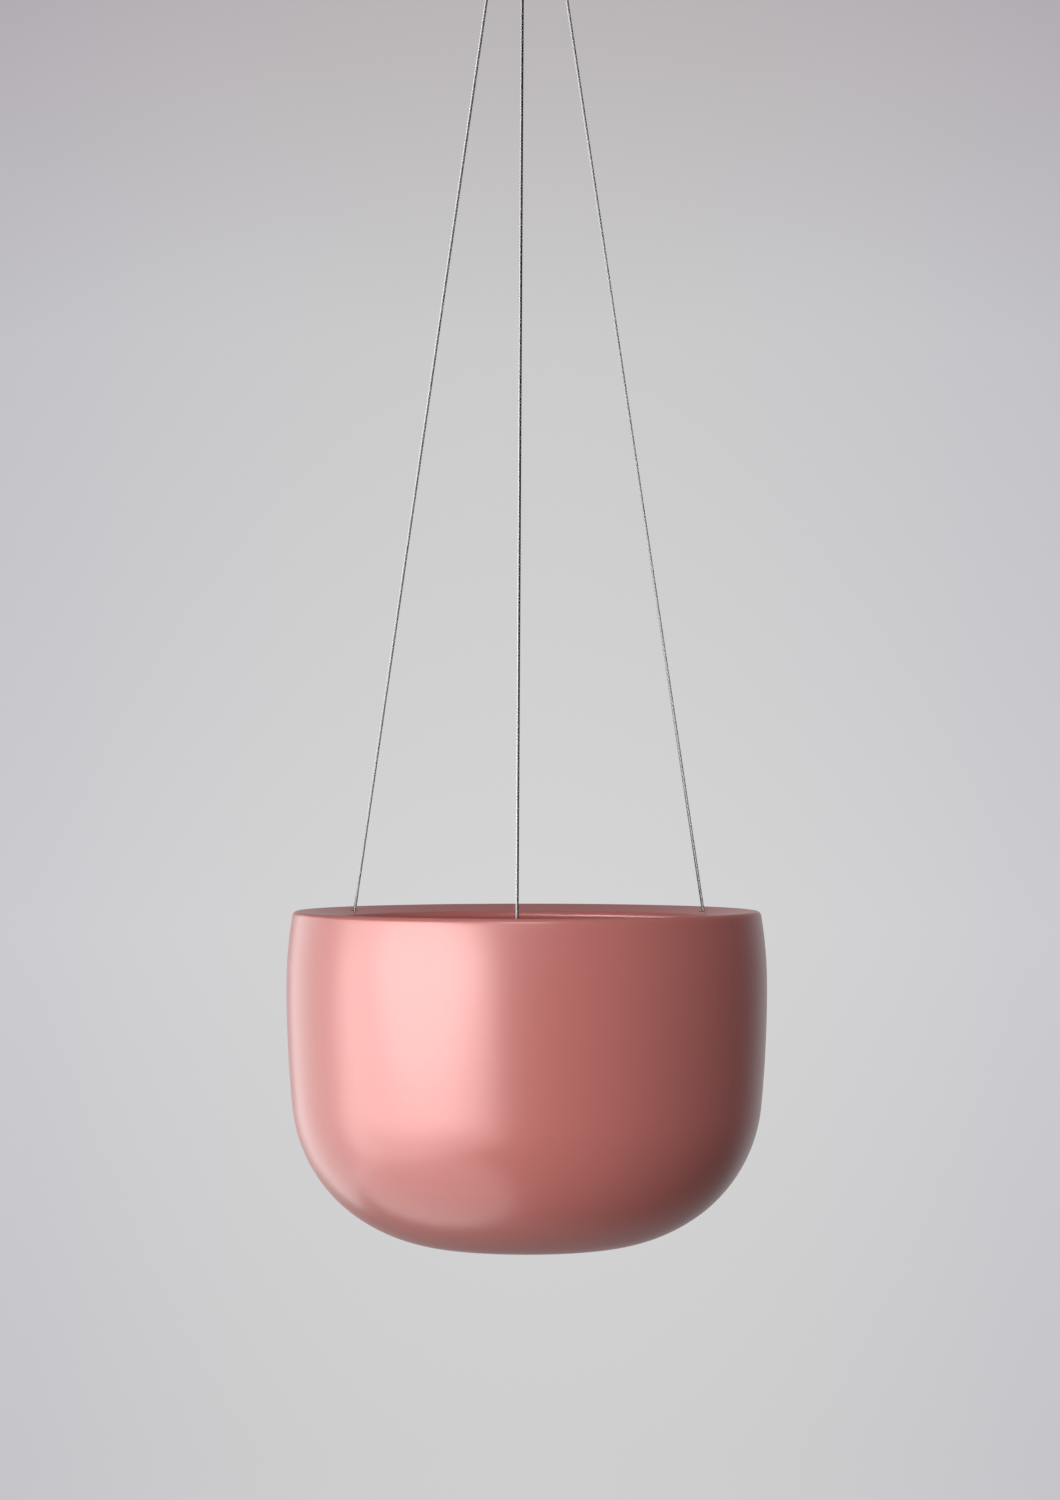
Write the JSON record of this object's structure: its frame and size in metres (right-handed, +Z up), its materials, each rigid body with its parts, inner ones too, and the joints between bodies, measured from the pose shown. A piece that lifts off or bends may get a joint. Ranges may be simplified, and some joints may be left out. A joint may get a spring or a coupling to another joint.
{
  "type": "hanging planter",
  "caption": "Glazed ceramic bowl with a flanged rim, hung by steel wire ropes that meet on a ring under an S-hook.",
  "frame": {"origin": "the point inside the S-hook's upper bend that rests on the support", "axes": "+Z up, +X to the right in the picture, -Y toward the viewer"},
  "size_m": [0.2088, 0.2088, 0.6753],
  "materials": {
    "glazed_bowl": "glossy dusty rose glaze",
    "hook_steel": "satin steel wire",
    "ring_steel": "satin steel wire",
    "rope_steel": "twisted stainless wire rope",
    "ferrule_aluminium": "pressed aluminium",
    "washer_steel": "plain washer",
    "stop_aluminium": "crimped aluminium"
  },
  "bodies": {
    "hook": {"s_hook": "hook_steel"},
    "ring": {"hanging_ring": "ring_steel"},
    "hanging_set": {"bowl": "glazed_bowl", "wire_left": "rope_steel", "wire_front": "rope_steel", "wire_right": "rope_steel", "eye_ferrule_left": "ferrule_aluminium", "eye_ferrule_front": "ferrule_aluminium", "eye_ferrule_right": "ferrule_aluminium", "washer_left": "washer_steel", "washer_front": "washer_steel", "washer_right": "washer_steel", "wire_stop_left": "stop_aluminium", "wire_stop_front": "stop_aluminium", "wire_stop_right": "stop_aluminium"}
  },
  "joints": [
    {"name": "ring_swing_sideways", "type": "hinge", "parent": "hook", "child": "ring", "pos_m": [0, 0, -0.0185], "axis": [0, 1, 0], "range_deg": [-15, 15]},
    {"name": "bowl_swing_fore_aft", "type": "hinge", "parent": "ring", "child": "hanging_set", "pos_m": [0, 0, -0.0418], "axis": [1, 0, 0], "range_deg": [-15, 15]}
  ]
}
